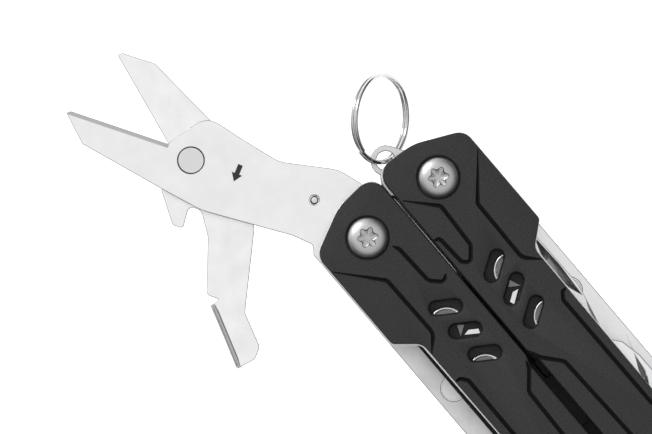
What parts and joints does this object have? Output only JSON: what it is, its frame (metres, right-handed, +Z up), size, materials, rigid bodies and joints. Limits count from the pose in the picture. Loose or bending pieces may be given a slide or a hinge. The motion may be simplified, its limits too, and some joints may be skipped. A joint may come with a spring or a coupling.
{
  "type": "multi tool",
  "caption": "Compact folding pliers multi tool with slotted black handle scales, scissors swung out on a butt pivot, a knife, drivers and a split key ring.",
  "frame": {"origin": "centre of the left butt nut's flat head, which the closed tool rests on", "axes": "+X along the closed handles towards the pliers pivots, +Y from the left handle to the right one, +Z up out of the front scales"},
  "size_m": [0.1259, 0.0587, 0.0236],
  "materials": {
    "black_coat": "matte black textured coating",
    "satin_steel": "satin, fine lengthways grain",
    "liner_steel": "satin, fine grain",
    "dark_steel": "bead blasted grey",
    "fastener_steel": "satin, domed",
    "bright_wire": "polished"
  },
  "bodies": {
    "pliers": {"left_jaw": "dark_steel", "jaw_pivot_rivet": "fastener_steel", "left_far_screw": "fastener_steel", "left_far_nut": "fastener_steel"},
    "right_jaw": {"right_jaw": "dark_steel"},
    "right_far_bolt": {"right_far_screw": "fastener_steel", "right_far_nut": "fastener_steel"},
    "left_handle": {"left_front_scale": "black_coat", "left_rear_scale": "black_coat", "left_front_liner": "liner_steel", "left_rear_liner": "liner_steel", "left_liner_rivet": "liner_steel", "left_butt_screw": "fastener_steel", "left_butt_nut": "fastener_steel", "left_butt_spacer": "liner_steel", "left_far_front_spacer": "liner_steel", "left_far_rear_washer": "liner_steel"},
    "right_handle": {"right_front_scale": "black_coat", "right_rear_scale": "black_coat", "right_front_liner": "liner_steel", "right_rear_liner": "liner_steel", "right_liner_rivet": "liner_steel", "right_butt_screw": "fastener_steel", "right_butt_nut": "fastener_steel", "right_butt_spacer": "liner_steel", "right_far_front_washer": "liner_steel", "right_far_rear_spacer": "liner_steel"},
    "scissors": {"scissors_plate": "satin_steel", "scissors_spring": "dark_steel", "scissors_spring_pin": "dark_steel"},
    "shear_rivet": {"scissors_rivet": "satin_steel"},
    "lever": {"scissors_lever": "satin_steel"},
    "knife": {"knife_blade": "satin_steel"},
    "can_opener": {"can_opener": "satin_steel"},
    "phillips": {"phillips_driver": "dark_steel"},
    "lug": {"lanyard_lug": "satin_steel"},
    "ring": {"key_ring": "bright_wire"}
  },
  "joints": [
    {"name": "jaw_open", "type": "hinge", "parent": "pliers", "child": "right_jaw", "pos_m": [0.047, 0.0083, 0.0095], "axis": [0, 0, 1], "range_deg": [0, 32]},
    {"name": "right_bolt_turn", "type": "hinge", "parent": "right_jaw", "child": "right_far_bolt", "pos_m": [0.064, 0.0166, 0.0095], "axis": [0, 0, 1], "range_deg": [-32, 0]},
    {"name": "left_handle_unfold", "type": "hinge", "parent": "pliers", "child": "left_handle", "pos_m": [0.064, 0, 0.0095], "axis": [0, 0, 1], "range_deg": [0, 172]},
    {"name": "right_handle_unfold", "type": "hinge", "parent": "right_far_bolt", "child": "right_handle", "pos_m": [0.064, 0.0166, 0.0095], "axis": [0, 0, -1], "range_deg": [0, 172]},
    {"name": "scissors_fold", "type": "hinge", "parent": "left_handle", "child": "scissors", "pos_m": [0, 0, 0.0095], "axis": [0, 0, -1], "range_deg": [-153.7, 0]},
    {"name": "shear_rivet_turn", "type": "hinge", "parent": "scissors", "child": "shear_rivet", "pos_m": [-0.031, -0.015, 0.0095], "axis": [0, 0, -1], "range_deg": [-40, 0]},
    {"name": "scissors_squeeze", "type": "hinge", "parent": "shear_rivet", "child": "lever", "pos_m": [-0.031, -0.015, 0.0095], "axis": [0, 0, 1], "range_deg": [0, 34.5], "stiffness_Nm_per_rad": 0.1, "deforming": ["scissors_spring"]},
    {"name": "knife_open", "type": "hinge", "parent": "right_handle", "child": "knife", "pos_m": [0, 0.0166, 0.0095], "axis": [0, 0, 1], "range_deg": [0, 178]},
    {"name": "can_opener_open", "type": "hinge", "parent": "right_handle", "child": "can_opener", "pos_m": [0.064, 0.0166, 0.0095], "axis": [0, 0, -1], "range_deg": [0, 170]},
    {"name": "phillips_open", "type": "hinge", "parent": "left_handle", "child": "phillips", "pos_m": [0.064, 0, 0.0095], "axis": [0, 0, 1], "range_deg": [0, 170]},
    {"name": "lug_swivel", "type": "hinge", "parent": "right_handle", "child": "lug", "pos_m": [0, 0.0166, 0.0095], "axis": [0, 0, 1], "range_deg": [-60, 0]},
    {"name": "ring_swing", "type": "hinge", "parent": "lug", "child": "ring", "pos_m": [-0.0084, 0.0115, 0.01465], "axis": [0.1589, 0.6415, -0.7505], "range_deg": [-20, 20]}
  ],
  "couplings": [
    {"joint": "right_bolt_turn", "follows": "jaw_open", "ratio": -1},
    {"joint": "shear_rivet_turn", "follows": "scissors_fold", "ratio": 0.26}
  ]
}
